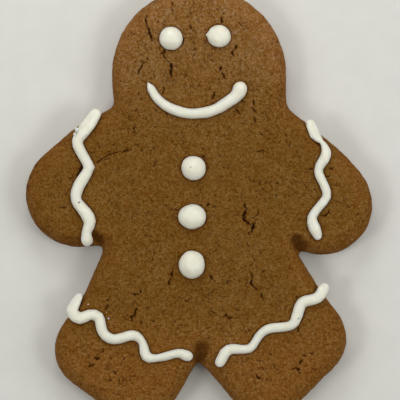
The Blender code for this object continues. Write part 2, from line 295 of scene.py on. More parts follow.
    # Right hand.
    (0.6, 0.6, (37.4, 10.3), (38.6, 9.7)),
    (0.6, 0.6, (31.2, 9.7), (32.9, 10.1)),
    (0.5, 0.5, (36.5, 7.8), (37.4, 7.7)),
    (0.45, 0.4, (33.0, 4.4), (34.0, 3.5)),
    (0.45, 0.4, (39.0, 0.8), (40.4, 0.2)),
    (0.45, 0.4, (42.5, -1.0), (43.6, -1.2)),
    (0.5, 0.5, (45.1, -2.9), (46.1, -3.0)),
    (0.55, 0.7, (35.0, -3.4), (36.5, -3.5), (37.1, -2.7), (37.5, -1.8)),
)

# Larger pits: place and width.
PITS = (
    (-16.0, 47.6, 0.7), (-15.2, 45.4, 0.7), (-17.4, 43.5, 0.7), (-16.0, 40.5, 0.6), (-8.7, 35.3, 0.8),
    (-6.4, 53.2, 0.6), (-0.5, 53.0, 0.6), (2.0, 47.8, 0.8), (1.9, 44.3, 0.7), (13.0, 40.3, 0.7),
    (9.3, 37.8, 0.6), (0.4, 36.5, 0.6), (15.2, 37.0, 0.6), (13.2, 45.4, 0.6), (4.6, 44.8, 0.7),
    (-13.8, 25.5, 0.6), (-15.1, 24.4, 0.6), (-6.1, 21.6, 0.7), (-2.5, 22.1, 0.7), (-0.7, 22.1, 0.6),
    (-0.2, 18.0, 0.6), (25.2, 24.2, 0.7), (16.7, 25.6, 0.5), (30.9, 12.8, 0.6), (27.0, 10.0, 0.5),
    (14.1, 12.8, 0.6), (-26.8, 6.4, 0.6), (-19.2, 5.1, 0.8), (-16.3, 7.4, 0.7), (-10.7, 2.1, 0.6),
    (-22.2, -0.8, 0.6), (-19.5, -6.8, 0.9), (-13.0, -6.6, 0.6), (-18.6, -11.9, 0.8), (-10.8, -13.9, 0.8),
    (-8.0, -6.6, 0.6), (0.5, 3.1, 0.5), (6.5, 7.6, 0.7), (17.4, 5.8, 0.7), (19.3, 6.0, 0.8),
    (19.3, 0.3, 0.8), (14.3, 1.7, 0.6), (10.6, 3.2, 0.6), (12.9, 3.5, 0.6), (22.9, 0.2, 0.5),
    (27.9, 2.8, 0.5), (26.9, 2.2, 0.5), (28.8, 7.8, 0.5), (11.5, -11.9, 0.6), (10.9, -10.6, 0.5),
    (17.4, -13.3, 0.7), (16.6, -18.5, 0.7), (17.2, -19.0, 0.8), (4.1, -25.4, 0.8), (21.4, -25.0, 0.6),
    (6.7, -30.7, 0.9), (9.3, -33.9, 0.6), (12.6, -33.3, 0.8), (22.0, -28.5, 0.6), (18.1, -28.2, 0.5),
    (28.2, -26.9, 0.9), (21.7, -33.9, 0.7), (23.5, -33.9, 0.8), (0.7, -36.6, 0.6), (-1.3, -36.8, 0.5),
    (-2.9, -39.2, 0.6), (-11.4, -36.4, 0.7), (-6.1, -31.3, 0.7), (-4.7, -29.8, 0.6), (-5.6, -28.8, 0.6),
    (-8.9, -32.0, 0.6), (-16.5, -24.0, 0.6), (-29.1, -42.2, 0.8), (-33.1, -41.0, 0.7), (-31.0, -43.2, 0.6),
    (-25.2, -44.5, 0.8), (-23.2, -43.2, 0.6), (-24.5, -43.4, 0.5), (-36.2, -43.8, 0.5), (-19.6, -47.3, 0.7),
    (-24.1, -53.5, 0.7), (-22.7, -56.3, 0.7), (-32.9, -47.9, 0.5), (-12.4, -48.6, 0.6), (-19.8, -49.1, 0.5),
    (19.4, -42.5, 0.9), (15.4, -43.8, 0.6), (12.3, -45.6, 0.7), (18.5, -47.6, 0.9), (29.6, -39.5, 0.8),
    (38.8, -42.4, 0.6), (37.4, -37.2, 0.6), (32.3, -50.4, 0.6), (21.9, -53.3, 0.7), (23.6, -54.1, 0.7),
    (27.9, -53.8, 0.8), (30.3, -42.3, 0.6), (27.5, -41.4, 0.5), (42.7, 0.9, 0.5), (39.3, -6.0, 0.5),
)

# Areas that crackled more than the rest in the oven: centre and radius.
CRACKLED = (
    (-9.0, 46.0, 15.0),
    (7.0, 40.0, 9.0),
    (15.5, 26.0, 6.0),
    (14.5, -4.5, 5.0),
    (-18.0, -29.0, 7.0),
    (16.0, -22.0, 7.0),
    (-27.0, -45.0, 7.0),
    (27.5, -45.5, 7.0),
    (34.0, 3.0, 7.0),
    (-42.0, 4.0, 6.0),
)

# Creases where two swelling edges meet: width, depth and the line that the crease follows.
CREASES = (
    (3.4, 1.7, (-30.6, -8.9), (-29.2, -10.0), (-28.0, -11.6)),
    (2.2, 0.5, (-36.0, -11.3), (-34.0, -11.6)),
    (3.8, 2.2, (27.6, -9.9), (28.5, -11.5), (30.4, -12.8)),
    (4.8, 2.4, (0.8, -40.9), (0.6, -42.6), (0.0, -45.2)),
)

# Chips out of the rim of the left hand: place and radius.
RIM_CHIPS = (
    (-46.9, 11.0, 0.9),
    (-48.6, 7.4, 0.7),
    (-49.4, 4.8, 0.8),
    (-49.9, 1.4, 0.7),
)

# Points and a pinch drawn in the icing: node, place that it is drawn to, strength and radius.
ICING_PULLS = (
    ("icing_eye_right", (1.5, 48.6), 2.2, 1.8),
    ("icing_sleeve_left", (-29.0, 10.6), 1.6, 2.2),
    ("icing_sleeve_right", (35.6, 18.0), 1.1, 3.8),
    ("icing_smile", (-14.7, 34.8), 1.9, 2.4),
)

# Pits in the icing that show what is under it: node, place and radius.
ICING_PITS = (
    ("icing_button_top", (-2.4, 10.4), 0.26),
    ("icing_sleeve_left", (-34.4, 0.3), 0.42),
    ("icing_trouser_right", (28.7, -33.1), 0.32),
)

ICING_PIT_DEPTH = 0.25 * MM
ICING_PIT_COLOUR = (0.10, 0.09, 0.07, 1.0)

# Loose bits of icing and sugar: place, height over the cookie's face and radius.
SUGAR_BITS = (
    (-35.0, 21.1, 0.4, 0.62),
    (-35.4, 21.5, 0.2, 0.36),
    (-35.7, 20.0, 0.2, 0.44),
    (-35.0, 20.3, 0.3, 0.46),
    (-26.0, -33.1, 0.0, 0.30),
    (-26.5, -31.3, 0.1, 0.14),
    (-31.8, -29.0, 0.0, 0.22),
    (7.3, -39.6, 0.0, 0.14),
    (44.1, -10.4, -1.2, 0.14),
)

# Middle of the view, near the middle of the cookie.
VIEW_CENTRE = (0.33, 1.01, 7.0)

# Lamps: name, azimuth and elevation in degrees, distance and size in metres, and watts.
LAMPS = (
    ("lamp_above", 90, 82, 0.60, 0.30, 0.34),
    ("lamp_beyond_head", 97, 29, 0.36, 0.20, 0.43),
    ("lamp_beyond_left", 135, 38, 0.60, 0.34, 0.46),
    ("lamp_beyond_right", 45, 38, 0.60, 0.34, 0.58),
    ("lamp_left", 180, 38, 0.60, 0.34, 0.56),
    ("lamp_right", 0, 30, 0.60, 0.34, 0.84),
    ("lamp_left_small", 200, 45, 0.60, 0.20, 0.80),
    ("lamp_right_small", -20, 45, 0.60, 0.20, 0.76),
    ("lamp_by_feet", -90, 28, 0.60, 0.50, 0.26),
)


# ---------------------------------------------------------------- settings


class GingerbreadBody(bpy.types.PropertyGroup):
    spacing: FloatProperty(
        name="Mesh spacing",
        description="Edge length of the even mesh before its iced face is refined",
        default=0.92 * MM, min=0.4 * MM, max=3 * MM, unit="LENGTH", precision=5,
    )
    swell: FloatProperty(
        name="Swell",
        description="How far the baked face rises and falls in broad, gentle waves",
        default=0.26 * MM, min=0, max=MM, unit="LENGTH", precision=5,
    )
    crumb: FloatProperty(
        name="Crumb",
        description="Height of the fine crumbly grain",
        default=0.10 * MM, min=0, max=0.5 * MM, unit="LENGTH", precision=5,
    )
    pore_count: IntProperty(
        name="Pores",
        description="Number of small round pores in the face",
        default=1500, min=0, max=6000,
    )
    fissure_count: IntProperty(
        name="Fissures",
        description="Number of short fine fissures in the face",
        default=200, min=0, max=2000,
    )
    baked: FloatVectorProperty(
        name="Baked colour",
        description="Colour of the middle of the face",
        default=(0.190, 0.0940, 0.0188), min=0, max=1, subtype="COLOR",
    )
    toasted: FloatVectorProperty(
        name="Toasted colour",
        description="Redder colour towards the rim",
        default=(0.208, 0.0925, 0.0175), min=0, max=1, subtype="COLOR",
    )
    feet: FloatVectorProperty(
        name="Feet colour",
        description="Paler, redder colour of the feet",
        default=(0.234, 0.1070, 0.0235), min=0, max=1, subtype="COLOR",
    )
    # Colour of the painted shade down in the cracks, pores, pits and creases, and beside the icing.
    painted_crevice_shade: FloatVectorProperty(
        name="Crevice colour",
        description="Colour down in the cracks and pores",
        default=(0.076, 0.0215, 0.0012), min=0, max=1, subtype="COLOR",
    )


class GingerbreadIcing(bpy.types.PropertyGroup):
    spacing: FloatProperty(
        name="Mesh spacing",
        description="Edge length of the icing's even mesh",
        default=0.22 * MM, min=0.1 * MM, max=MM, unit="LENGTH", precision=5,
    )
    seat: FloatProperty(
        name="Seat",
        description="How far the icing sinks from its solid's place into the cookie",
        default=0.6 * MM, min=0, max=2 * MM, unit="LENGTH", precision=5,
    )
    wobble: FloatProperty(
        name="Wobble",
        description="Unevenness left by piping by hand",
        default=0.14 * MM, min=0, max=0.5 * MM, unit="LENGTH", precision=5,
    )
    colour: FloatVectorProperty(
        name="Icing colour",
        description="Colour of the set icing",
        default=(0.82, 0.805, 0.682), min=0, max=1, subtype="COLOR",
    )


class GingerbreadStage(bpy.types.PropertyGroup):
    camera_height: FloatProperty(
        name="Camera height",
        description="Height of the camera over the cookie",
        default=1.3, min=0.1, max=5, unit="LENGTH",
    )
    view_width: FloatProperty(
        name="View width",
        description="Width that the view covers at the cookie",
        default=115.2 * MM, min=50 * MM, max=500 * MM, unit="LENGTH",
    )
    floor: FloatVectorProperty(
        name="Floor colour",
        description="Colour of the pale surface under the cookie",
        default=(0.690, 0.680, 0.628), min=0, max=1, subtype="COLOR",
    )
    brightness: FloatProperty(
        name="Brightness",
        description="Multiplies the strength of every lamp",
        default=1.0, min=0, max=10,
    )


# ---------------------------------------------------------------- meshes


def merged_copy(node):
    """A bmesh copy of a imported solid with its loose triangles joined."""
    bm = bmesh.new()
    bm.from_mesh(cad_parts[node].data)
    bmesh.ops.remove_doubles(bm, verts=bm.verts, dist=1e-6)
    return bm


def add_object(name, bm):
    """Puts a finished bmesh into the scene as a smooth object at the origin."""
    mesh = bpy.data.meshes.new(name)
    bm.to_mesh(mesh)
    bm.free()
    mesh.shade_smooth()
    obj = bpy.data.objects.new(name, mesh)
    bpy.context.scene.collection.objects.link(obj)
    return obj


def evenly_meshed(bm, spacing):
    """Replaces a bmesh with an even skin of small quads over the same shape."""
    obj = add_object("even", bm)
    remesh = obj.modifiers.new("Even", "REMESH")
    remesh.mode = "VOXEL"
    remesh.voxel_size = spacing
    graph = bpy.context.evaluated_depsgraph_get()
    even = bpy.data.meshes.new_from_object(obj.evaluated_get(graph))
    fresh = bmesh.new()
    fresh.from_mesh(even)
    bpy.data.objects.remove(obj, do_unlink=True)
    bpy.data.meshes.remove(even)
    return fresh


def relax(bm, rounds):
    """Smooths the stair steps out of an even skin."""
    for _ in range(rounds):
        bmesh.ops.smooth_vert(
            bm, verts=bm.verts, factor=0.5, use_axis_x=True, use_axis_y=True, use_axis_z=True
        )


def refine(bm, chosen):
    """Halves the edges whose two ends are both chosen."""
    edges = [edge for edge in bm.edges if all(chosen(vert) for vert in edge.verts)]
    bmesh.ops.subdivide_edges(bm, edges=edges, cuts=1, use_grid_fill=True)


def smoothstep(low, high, values):
    share = np.clip((values - low) / (high - low), 0, 1)
    return share * share * (3 - 2 * share)


def vertex_places(bm):
    """The places of all vertices, one row each."""
    return np.array([vert.co[:] for vert in bm.verts])


def vertex_normals(bm):
    bm.normal_update()
    return np.array([vert.normal[:] for vert in bm.verts])


def grain(places, size, seed, octaves=1):
    """Smooth noise between about -1 and 1 at each place, with lumps of the given size."""
    shift = Vector((seed * 7.31, seed * 3.17, seed * 5.53))
    scaled = places / size
    if octaves == 1:
        return np.array([noise.noise(Vector(place) + shift) for place in scaled])
    return np.array([noise.fractal(Vector(place) + shift, 0.7, 2.0, octaves) for place in scaled])


def store(bm, name, values):
    """Keeps one number for each vertex, for the material to read."""
    layer = bm.verts.layers.float.new(name)
    for vert, value in zip(bm.verts, values):
        vert[layer] = value


# ---------------------------------------------------------------- cookie body


def rim_finder(bm):
    """A tree of the upright wall through the cookie's widest ring, for distances to its outline."""
    heights = np.array([vert.co.z for vert in bm.verts])
    places = vertex_places(bm)
    widest = heights[np.argmax(places[:, 0])]
    wall_verts = []
    wall_faces = []
    for edge in bm.edges:
        ends = [vert.co for vert in edge.verts]
        if all(abs(end.z - widest) < 1e-6 for end in ends):
            first = len(wall_verts)
            a, b = ends
            wall_verts += [(a.x, a.y, -1), (b.x, b.y, -1), (b.x, b.y, 1), (a.x, a.y, 1)]
            wall_faces.append((first, first + 1, first + 2, first + 3))
    return BVHTree.FromPolygons(wall_verts, wall_faces), widest


def icing_tree():
    """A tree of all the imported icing, for distances to it."""
    places = []
    faces = []
    for name, node in sorted(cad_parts.items()):
        if name != COOKIE_NODE:
            first = len(places)
            places += [vert.co.copy() for vert in node.data.vertices]
            faces += [[first + index for index in face.vertices] for face in node.data.polygons]
    return BVHTree.FromPolygons(places, faces)


def icing_distance(tree, places, seat, reach):
    """How far each place is from the seated icing, up to the given reach."""
    lifted = places + np.array((0, 0, seat))
    return np.array([tree.find_nearest(place, reach)[3] or reach for place in lifted])


def rim_distance(tree, places):
    """How far each place is from the outline, seen from above."""
    return np.array([tree.find_nearest((x, y, 0))[3] for x, y, _ in places])


def ragged_line(points, spacing, sway, seed):
    """Closely spaced places along a line, swaying to each side like torn dough, with the share run."""
    route = [Vector((x, y)) * MM for x, y in points]
    lengths = [(b - a).length for a, b in zip(route, route[1:])]
    total = sum(lengths)
    run = 0
    line = []
    for (a, b), length in zip(zip(route, route[1:]), lengths):
        aside = (b - a).orthogonal().normalized()
        steps = max(1, math.ceil(length / spacing))
        for step in range(steps):
            along = run + length * step / steps
            phase = Vector((along / MM * 1.3, seed * 11.7, 0))
            ends = math.sin(math.pi * along / total) ** 0.5
            offset = (noise.noise(phase) + 0.5 * noise.noise(phase * 2.7)) * sway * ends
            line.append((a.lerp(b, step / steps) + aside * offset, along / total))
        run += length
    line.append((route[-1], 1.0))
    return line


def crackle_share(place):
    """How crackled the face is at a place, from 0 to 1."""
    nearest = max(1 - (place - Vector((x, y)) * MM).length / (radius * MM) for x, y, radius in CRACKLED)
    return min(max(nearest * 2, 0.0), 1.0)


def wandering(draw, start, heading, step_length, steps):
    """A line of places that wanders from a start, in millimetres."""
    line = [start]
    for _ in range(steps):
        heading += draw.gauss(0, 0.55)
        line.append(line[-1] + Vector((math.cos(heading), math.sin(heading))) * step_length)
    return [place / MM for place in line]


def random_fissures(count, rim_tree, box):
    """Fine fissures all over the face, mostly upright, and longer and closer where it crackled."""
    draw = random.Random(41)
    low, high = box
    found = []
    while len(found) < count:
        start = Vector((draw.uniform(low[0], high[0]), draw.uniform(low[1], high[1])))
        share = crackle_share(start)
        kept = draw.random() < 0.4 + 0.6 * share
        step_length = draw.uniform(0.5, 0.9) * MM
        steps = draw.choice((1, 1, 2, 2, 3)) + round(2 * share * draw.random())
        line = wandering(draw, start, math.pi / 2 + draw.gauss(0, 0.8), step_length, steps)
        width = draw.uniform(0.32, 0.46) + 0.08 * share
        depth = draw.uniform(0.15, 0.40) + 0.15 * share
        place = start.to_3d()
        if kept and is_inside(rim_tree, place) and rim_tree.find_nearest(place)[3] > 2.2 * MM:
            found.append((width, depth, *line))
    return found


def with_branches(cracks):
    """The cracks, with a short side branch here and there."""
    draw = random.Random(5)
    grown = list(cracks)
    for width, depth, *points in cracks:
        for place, after in zip(points, points[1:]):
            if draw.random() < 0.15:
                along = Vector(after) - Vector(place)
                start = Vector(place) + along * draw.uniform(0.2, 0.8)
                side = draw.choice((-1, 1)) * draw.uniform(0.6, 1.2)
                heading = math.atan2(along.y, along.x) + side
                branch = wandering(draw, start * MM, heading, draw.uniform(0.3, 0.6) * MM, 2)
                grown.append((0.6 * width, 0.6 * depth, *branch))
    return grown


def is_inside(tree, place):
    """Whether a place is inside the outline, by counting the walls to its right."""
    right = Vector((1, 0, 0))
    crossings = 0
    while True:
        place = tree.ray_cast(place, right)[0]
        if place is None:
            return crossings % 2 == 1
        crossings += 1
        place = place + right * 1e-6


def random_pores(count, rim_tree, box):
    """Places and sizes of small round pores."""
    draw = random.Random(17)
    low, high = box
    found = []
    while len(found) < count:
        place = Vector((draw.uniform(low[0], high[0]), draw.uniform(low[1], high[1]), 0))
        radius = draw.uniform(0.30, 0.55) * MM
        depth = draw.uniform(0.08, 0.30) * MM
        if is_inside(rim_tree, place):
            found.append((place, radius, depth))
    return found


def face_tree(bm, lowest):
    """A flat tree of the upper vertices, for finding those near a place whatever their height."""
    bm.verts.index_update()
    upper = [vert for vert in bm.verts if vert.co.z > lowest]
    tree = KDTree(len(upper))
    for vert in upper:
        tree.insert((vert.co.x, vert.co.y, 0), vert.index)
    tree.balance()
    return tree


def sink_line(sunk, tree, line, width, depth, taper=0.5, raggedness=1.0, softness=0.9):
    """Lowers the vertices near a line, deepest on the line and fading out at its ends."""
    for place, share in line:
        fade = math.sin(math.pi * min(max(share, 0.04), 0.96)) ** taper
        patch = 0.85 + raggedness * 0.75 * noise.noise(Vector((place.x, place.y, 0)) / (0.8 * MM))
        radius = width / 2 * (0.55 + 0.45 * fade) * max(patch, 0.45)
        for _, index, distance in tree.find_range((place.x, place.y, 0), radius):
            groove = (1 - (distance / radius) ** 2) ** softness
            sunk[index] = max(sunk[index], depth * fade * max(patch, 0.3) * groove)


def crack_lines(cracks, sway, first_seed):
    """Each crack as closely spaced places, with its width and depth in metres."""
    return [
        (ragged_line(points, CRACK_STEP, sway, first_seed + seed), width * MM, depth * MM)
        for seed, (width, depth, *points) in enumerate(cracks)
    ]


def surface_rise(settings, places, facing_up):
    """How far each place swells out: broad waves, lesser waves and crumb, rougher on the sides."""
    rise = settings.swell * grain(places, WAVE, 1)
    rise += 0.45 * settings.swell * grain(places, LESSER_WAVE, 2)
    rise += settings.crumb * grain(places, FACE_CRUMB, 3, octaves=3)
    rise += 0.6 * settings.crumb * (1 - facing_up) * grain(places, SIDE_CRUMB, 4)
    return rise


def sink_spot(sunk, tree, x, y, width, depth):
    """Lowers one round spot, with its place, width and depth in millimetres."""
    sink_line(sunk, tree, [(Vector((x, y)) * MM, 0.5)], width * MM, depth * MM)


def creased_depths(count, tree):
    """How far each vertex drops into the creases where swelling edges meet."""
    creased = np.zeros(count)
    for line, width, depth in crack_lines(CREASES, 0.0, 0):
        sink_line(creased, tree, line, 1.5 * width, depth, 0.3, 0.2, 2.0)
    return creased


def sunken_depths(count, tree, cracks, fissures, pores):
    """How far each vertex drops into cracks, fissures, pores, pits and chips."""
    sunk = np.zeros(count)
    for line, width, depth in fissures:
        sink_line(sunk, tree, line, width, depth)
    for line, width, depth in cracks:
        sink_line(sunk, tree, line, 1.15 * width, depth, 0.35, 0.5)
    for place, radius, depth in pores:
        sink_line(sunk, tree, [(place.xy, 0.5)], 2 * radius, depth)
    for x, y, width in PITS:
        sink_spot(sunk, tree, x, y, width, 0.7 * width)
    for x, y, radius in RIM_CHIPS:
        sink_spot(sunk, tree, x, y, 2 * radius, 0.5)
    return sunk


def bake_body(settings, seat):
    """The body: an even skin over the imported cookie, finer near cracks and icing, given its relief."""
    solid = merged_copy(COOKIE_NODE)
    rim_tree, widest = rim_finder(solid)
    bm = evenly_meshed(solid, settings.spacing)
    relax(bm, 2)
    refine(bm, lambda vert: vert.co.z > widest + 0.5 * MM)
    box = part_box(COOKIE_NODE)
    cracks = crack_lines(with_branches(CRACKS), CRACK_SWAY, 0)
    fissures = crack_lines(random_fissures(settings.fissure_count, rim_tree, box), FISSURE_SWAY, 100)
    refine_near(bm, widest, cracks + fissures, 0.3 * MM)
    refine_near(bm, widest, cracks, 0.12 * MM)
    icing = icing_tree()
    away = icing_distance(icing, vertex_places(bm), seat, ICING_EDGE)
    bm.verts.index_update()
    refine(bm, lambda vert: away[vert.index] < 0.6 * ICING_EDGE)

    places = vertex_places(bm)
    normals = vertex_normals(bm)
    above_table = smoothstep(0.2 * MM, 1.6 * MM, places[:, 2])
    facing_up = smoothstep(0.1, 0.6, normals[:, 2])
    rise = surface_rise(settings, places, facing_up)
    beside = 1 - smoothstep(0.1 * MM, ICING_EDGE, icing_distance(icing, places, seat, ICING_EDGE))
    tree = face_tree(bm, widest)
    creased = creased_depths(len(places), tree)
    pores = random_pores(settings.pore_count, rim_tree, box)
    sunk = sunken_depths(len(places), tree, cracks, fissures, pores)

    moved = places + normals * (rise * above_table)[:, None]
    moved[:, 2] -= (sunk + creased + ICING_EDGE_DEPTH * beside) * facing_up
    moved[:, 2] = np.maximum(moved[:, 2], box[0][2])
    for vert, place in zip(bm.verts, moved):
        vert.co = place
    # Share of painted shade in the cracks, fissures, pores, pits, chips and creases: the deeper, the
    # darker.
    painted_crevice_shade = np.clip(sunk / FULL_CREVICE, 0, 1) + 0.6 * np.clip(creased / FULL_CREASE, 0, 1)
    store(bm, "painted_crevice_shade", painted_crevice_shade)
    # Share of painted contact shadow along the icing.
    store(bm, "painted_icing_shadow", beside)
    store(bm, "rim", 1 - smoothstep(RIM_START, RIM_END, rim_distance(rim_tree, places)))
    bmesh.ops.recalc_face_normals(bm, faces=bm.faces)
    return add_object("gingerbread_body", bm)


def refine_near(bm, lowest, lines, margin):
    """Halves the mesh again beside the cracks."""
    tree = face_tree(bm, lowest)
    near = set()
    for line, width, _ in lines:
        for place, _ in line:
            found = tree.find_range((place.x, place.y, 0), width / 2 + margin)
            near.update(index for _, index, _ in found)
    refine(bm, lambda vert: vert.index in near)


# ---------------------------------------------------------------- icing


def pull_point(bm, tip, strength, radius):
    """Draws the icing near a place towards it, as the nozzle does when it is lifted away."""
    tip = Vector(tip) * MM
    for vert in bm.verts:
        towards = tip - vert.co.xy
        share = 1 - towards.length / (radius * MM)
        if share > 0:
            vert.co.xy += towards * min(strength * share**2, 0.9)


def pipe_piece(node, settings, seed):
    """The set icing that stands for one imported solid."""
    bm = evenly_meshed(merged_copy(node), settings.spacing)
    relax(bm, 8)
    for pulled, tip, strength, radius in ICING_PULLS:
        if pulled == node:
            pull_point(bm, tip, strength, radius)
    places = vertex_places(bm)
    normals = vertex_normals(bm)
    rise = settings.wobble * grain(places, 3.2 * MM, seed + 20)
    rise += 0.25 * settings.wobble * grain(places, 1.1 * MM, seed + 40)
    pitted = np.zeros(len(places))
    for holed, place, radius in ICING_PITS:
        if holed == node:
            away = np.linalg.norm(places[:, :2] / MM - np.array(place), axis=1)
            pitted = np.clip(1 - (away / radius) ** 2, 0, 1) * (normals[:, 2] > 0)
    rise -= pitted * ICING_PIT_DEPTH
    moved = places + normals * rise[:, None]
    moved[:, 2] -= settings.seat
    for vert, place in zip(bm.verts, moved):
        vert.co = place
    store(bm, "pit", pitted)
    return add_object(node.replace("icing", "piped"), bm)


def sugar_bits():
    """Tiny ragged lumps of icing and sugar lying on the cookie."""
    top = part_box(COOKIE_NODE)[1][2]
    bm = bmesh.new()
    for seed, (x, y, height, radius) in enumerate(SUGAR_BITS):
        place = Vector((x * MM, y * MM, top + height * MM))
        lump = bmesh.ops.create_icosphere(bm, subdivisions=2, radius=radius * MM)["verts"]
        for vert in lump:
            bump = 1 + 0.35 * noise.noise(vert.co / (0.4 * MM) + Vector((seed * 5.0, 0, 0)))
            vert.co = place + Vector((vert.co.x, vert.co.y, vert.co.z * 0.7)) * bump
    return add_object("sugar_bits", bm)


# ---------------------------------------------------------------- materials


class Nodes:
    """A short way to add and join the nodes of one material."""

    def __init__(self, name):
        self.material = bpy.data.materials.new(name)
        self.material.use_nodes = True
        self.tree = self.material.node_tree
        self.shader = self.tree.nodes["Principled BSDF"]

    def add(self, kind, settings=None, **inputs):
        """Adds a node; an input is a value, or the socket that feeds it."""
        node = self.tree.nodes.new(kind)
        for key, value in (settings or {}).items():
            setattr(node, key, value)
        for key, value in inputs.items():
            self.set(node.inputs[key.replace("_", " ")], value)
        return node

    def set(self, socket, value):
        if isinstance(value, bpy.types.NodeSocket):
            self.tree.links.new(value, socket)
        else:
            socket.default_value = value

    def noise(self, coordinates, scale, detail=2.0, roughness=0.5):
        inputs = {"Vector": coordinates, "Scale": scale, "Detail": detail, "Roughness": roughness}
        return self.add("ShaderNodeTexNoise", **inputs).outputs["Fac"]

    def shifted(self, coordinates, scale, reach):
        """Coordinates pushed about by noise, so that a pattern made on them is irregular."""
        push = self.add("ShaderNodeTexNoise", Vector=coordinates, Scale=scale, Detail=1.0).outputs["Color"]
        centred = self.add("ShaderNodeVectorMath", {"operation": "SUBTRACT"})
        self.set(centred.inputs[0], push)
        centred.inputs[1].default_value = (0.5, 0.5, 0.5)
        scaled = self.add("ShaderNodeVectorMath", {"operation": "SCALE"}, Scale=reach)
        self.set(scaled.inputs[0], centred.outputs[0])
        total = self.add("ShaderNodeVectorMath", {"operation": "ADD"})
        self.set(total.inputs[0], coordinates)
        self.set(total.inputs[1], scaled.outputs[0])
        return total.outputs[0]

    def dots(self, coordinates, scale, core, edge, rarity):
        """Round spots, one in each cell, left out where the cell's own number is under the rarity."""
        cells = self.add("ShaderNodeTexVoronoi", Vector=coordinates, Scale=scale)
        spot = self.remap(cells.outputs["Distance"], core, edge, 1.0, 0.0)
        chance = self.add("ShaderNodeSeparateColor", Color=cells.outputs["Color"]).outputs[0]
        return self.math("MULTIPLY", spot, self.math("GREATER_THAN", chance, rarity))

    def cell_edges(self, coordinates, scale, core, edge):
        """Thin lines between irregular cells."""
        settings = {"feature": "DISTANCE_TO_EDGE"}
        cells = self.add("ShaderNodeTexVoronoi", settings, Vector=coordinates, Scale=scale)
        return self.remap(cells.outputs["Distance"], core, edge, 1.0, 0.0)

    def shade(self, colour, factor):
        """Makes a brown darker and redder, or lighter and paler, as crumb is."""
        red = self.math("POWER", factor, 0.55)
        blue = self.math("POWER", factor, 2.5)
        tint = self.add("ShaderNodeCombineColor", Red=red, Green=factor, Blue=blue).outputs[0]
        return self.mix(1.0, colour, tint, "MULTIPLY")

    def attribute(self, name):
        return self.add("ShaderNodeAttribute", {"attribute_name": name}).outputs["Fac"]

    def math(self, operation, first, second):
        node = self.add("ShaderNodeMath", {"operation": operation})
        self.set(node.inputs[0], first)
        self.set(node.inputs[1], second)
        return node.outputs[0]

    def remap(self, value, low, high, to_low, to_high):
        node = self.add("ShaderNodeMapRange", {"interpolation_type": "SMOOTHSTEP"}, Value=value)
        for key, number in (("From Min", low), ("From Max", high), ("To Min", to_low), ("To Max", to_high)):
            node.inputs[key].default_value = number
        return node.outputs["Result"]

    def mix(self, share, first, second, blend="MIX"):
        node = self.add("ShaderNodeMix", {"data_type": "RGBA", "blend_type": blend})
        self.set(node.inputs[0], share)
        self.set(node.inputs[6], first)
        self.set(node.inputs[7], second)
        return node.outputs[2]

    def bump(self, height, strength, distance, under=None):
        node = self.add("ShaderNodeBump", Height=height, Strength=strength, Distance=distance)
        if under is not None:
            self.set(node.inputs["Normal"], under)
        return node.outputs["Normal"]


def opaque(colour):
    """A colour setting as a material takes it."""
    return (*colour, 1.0)


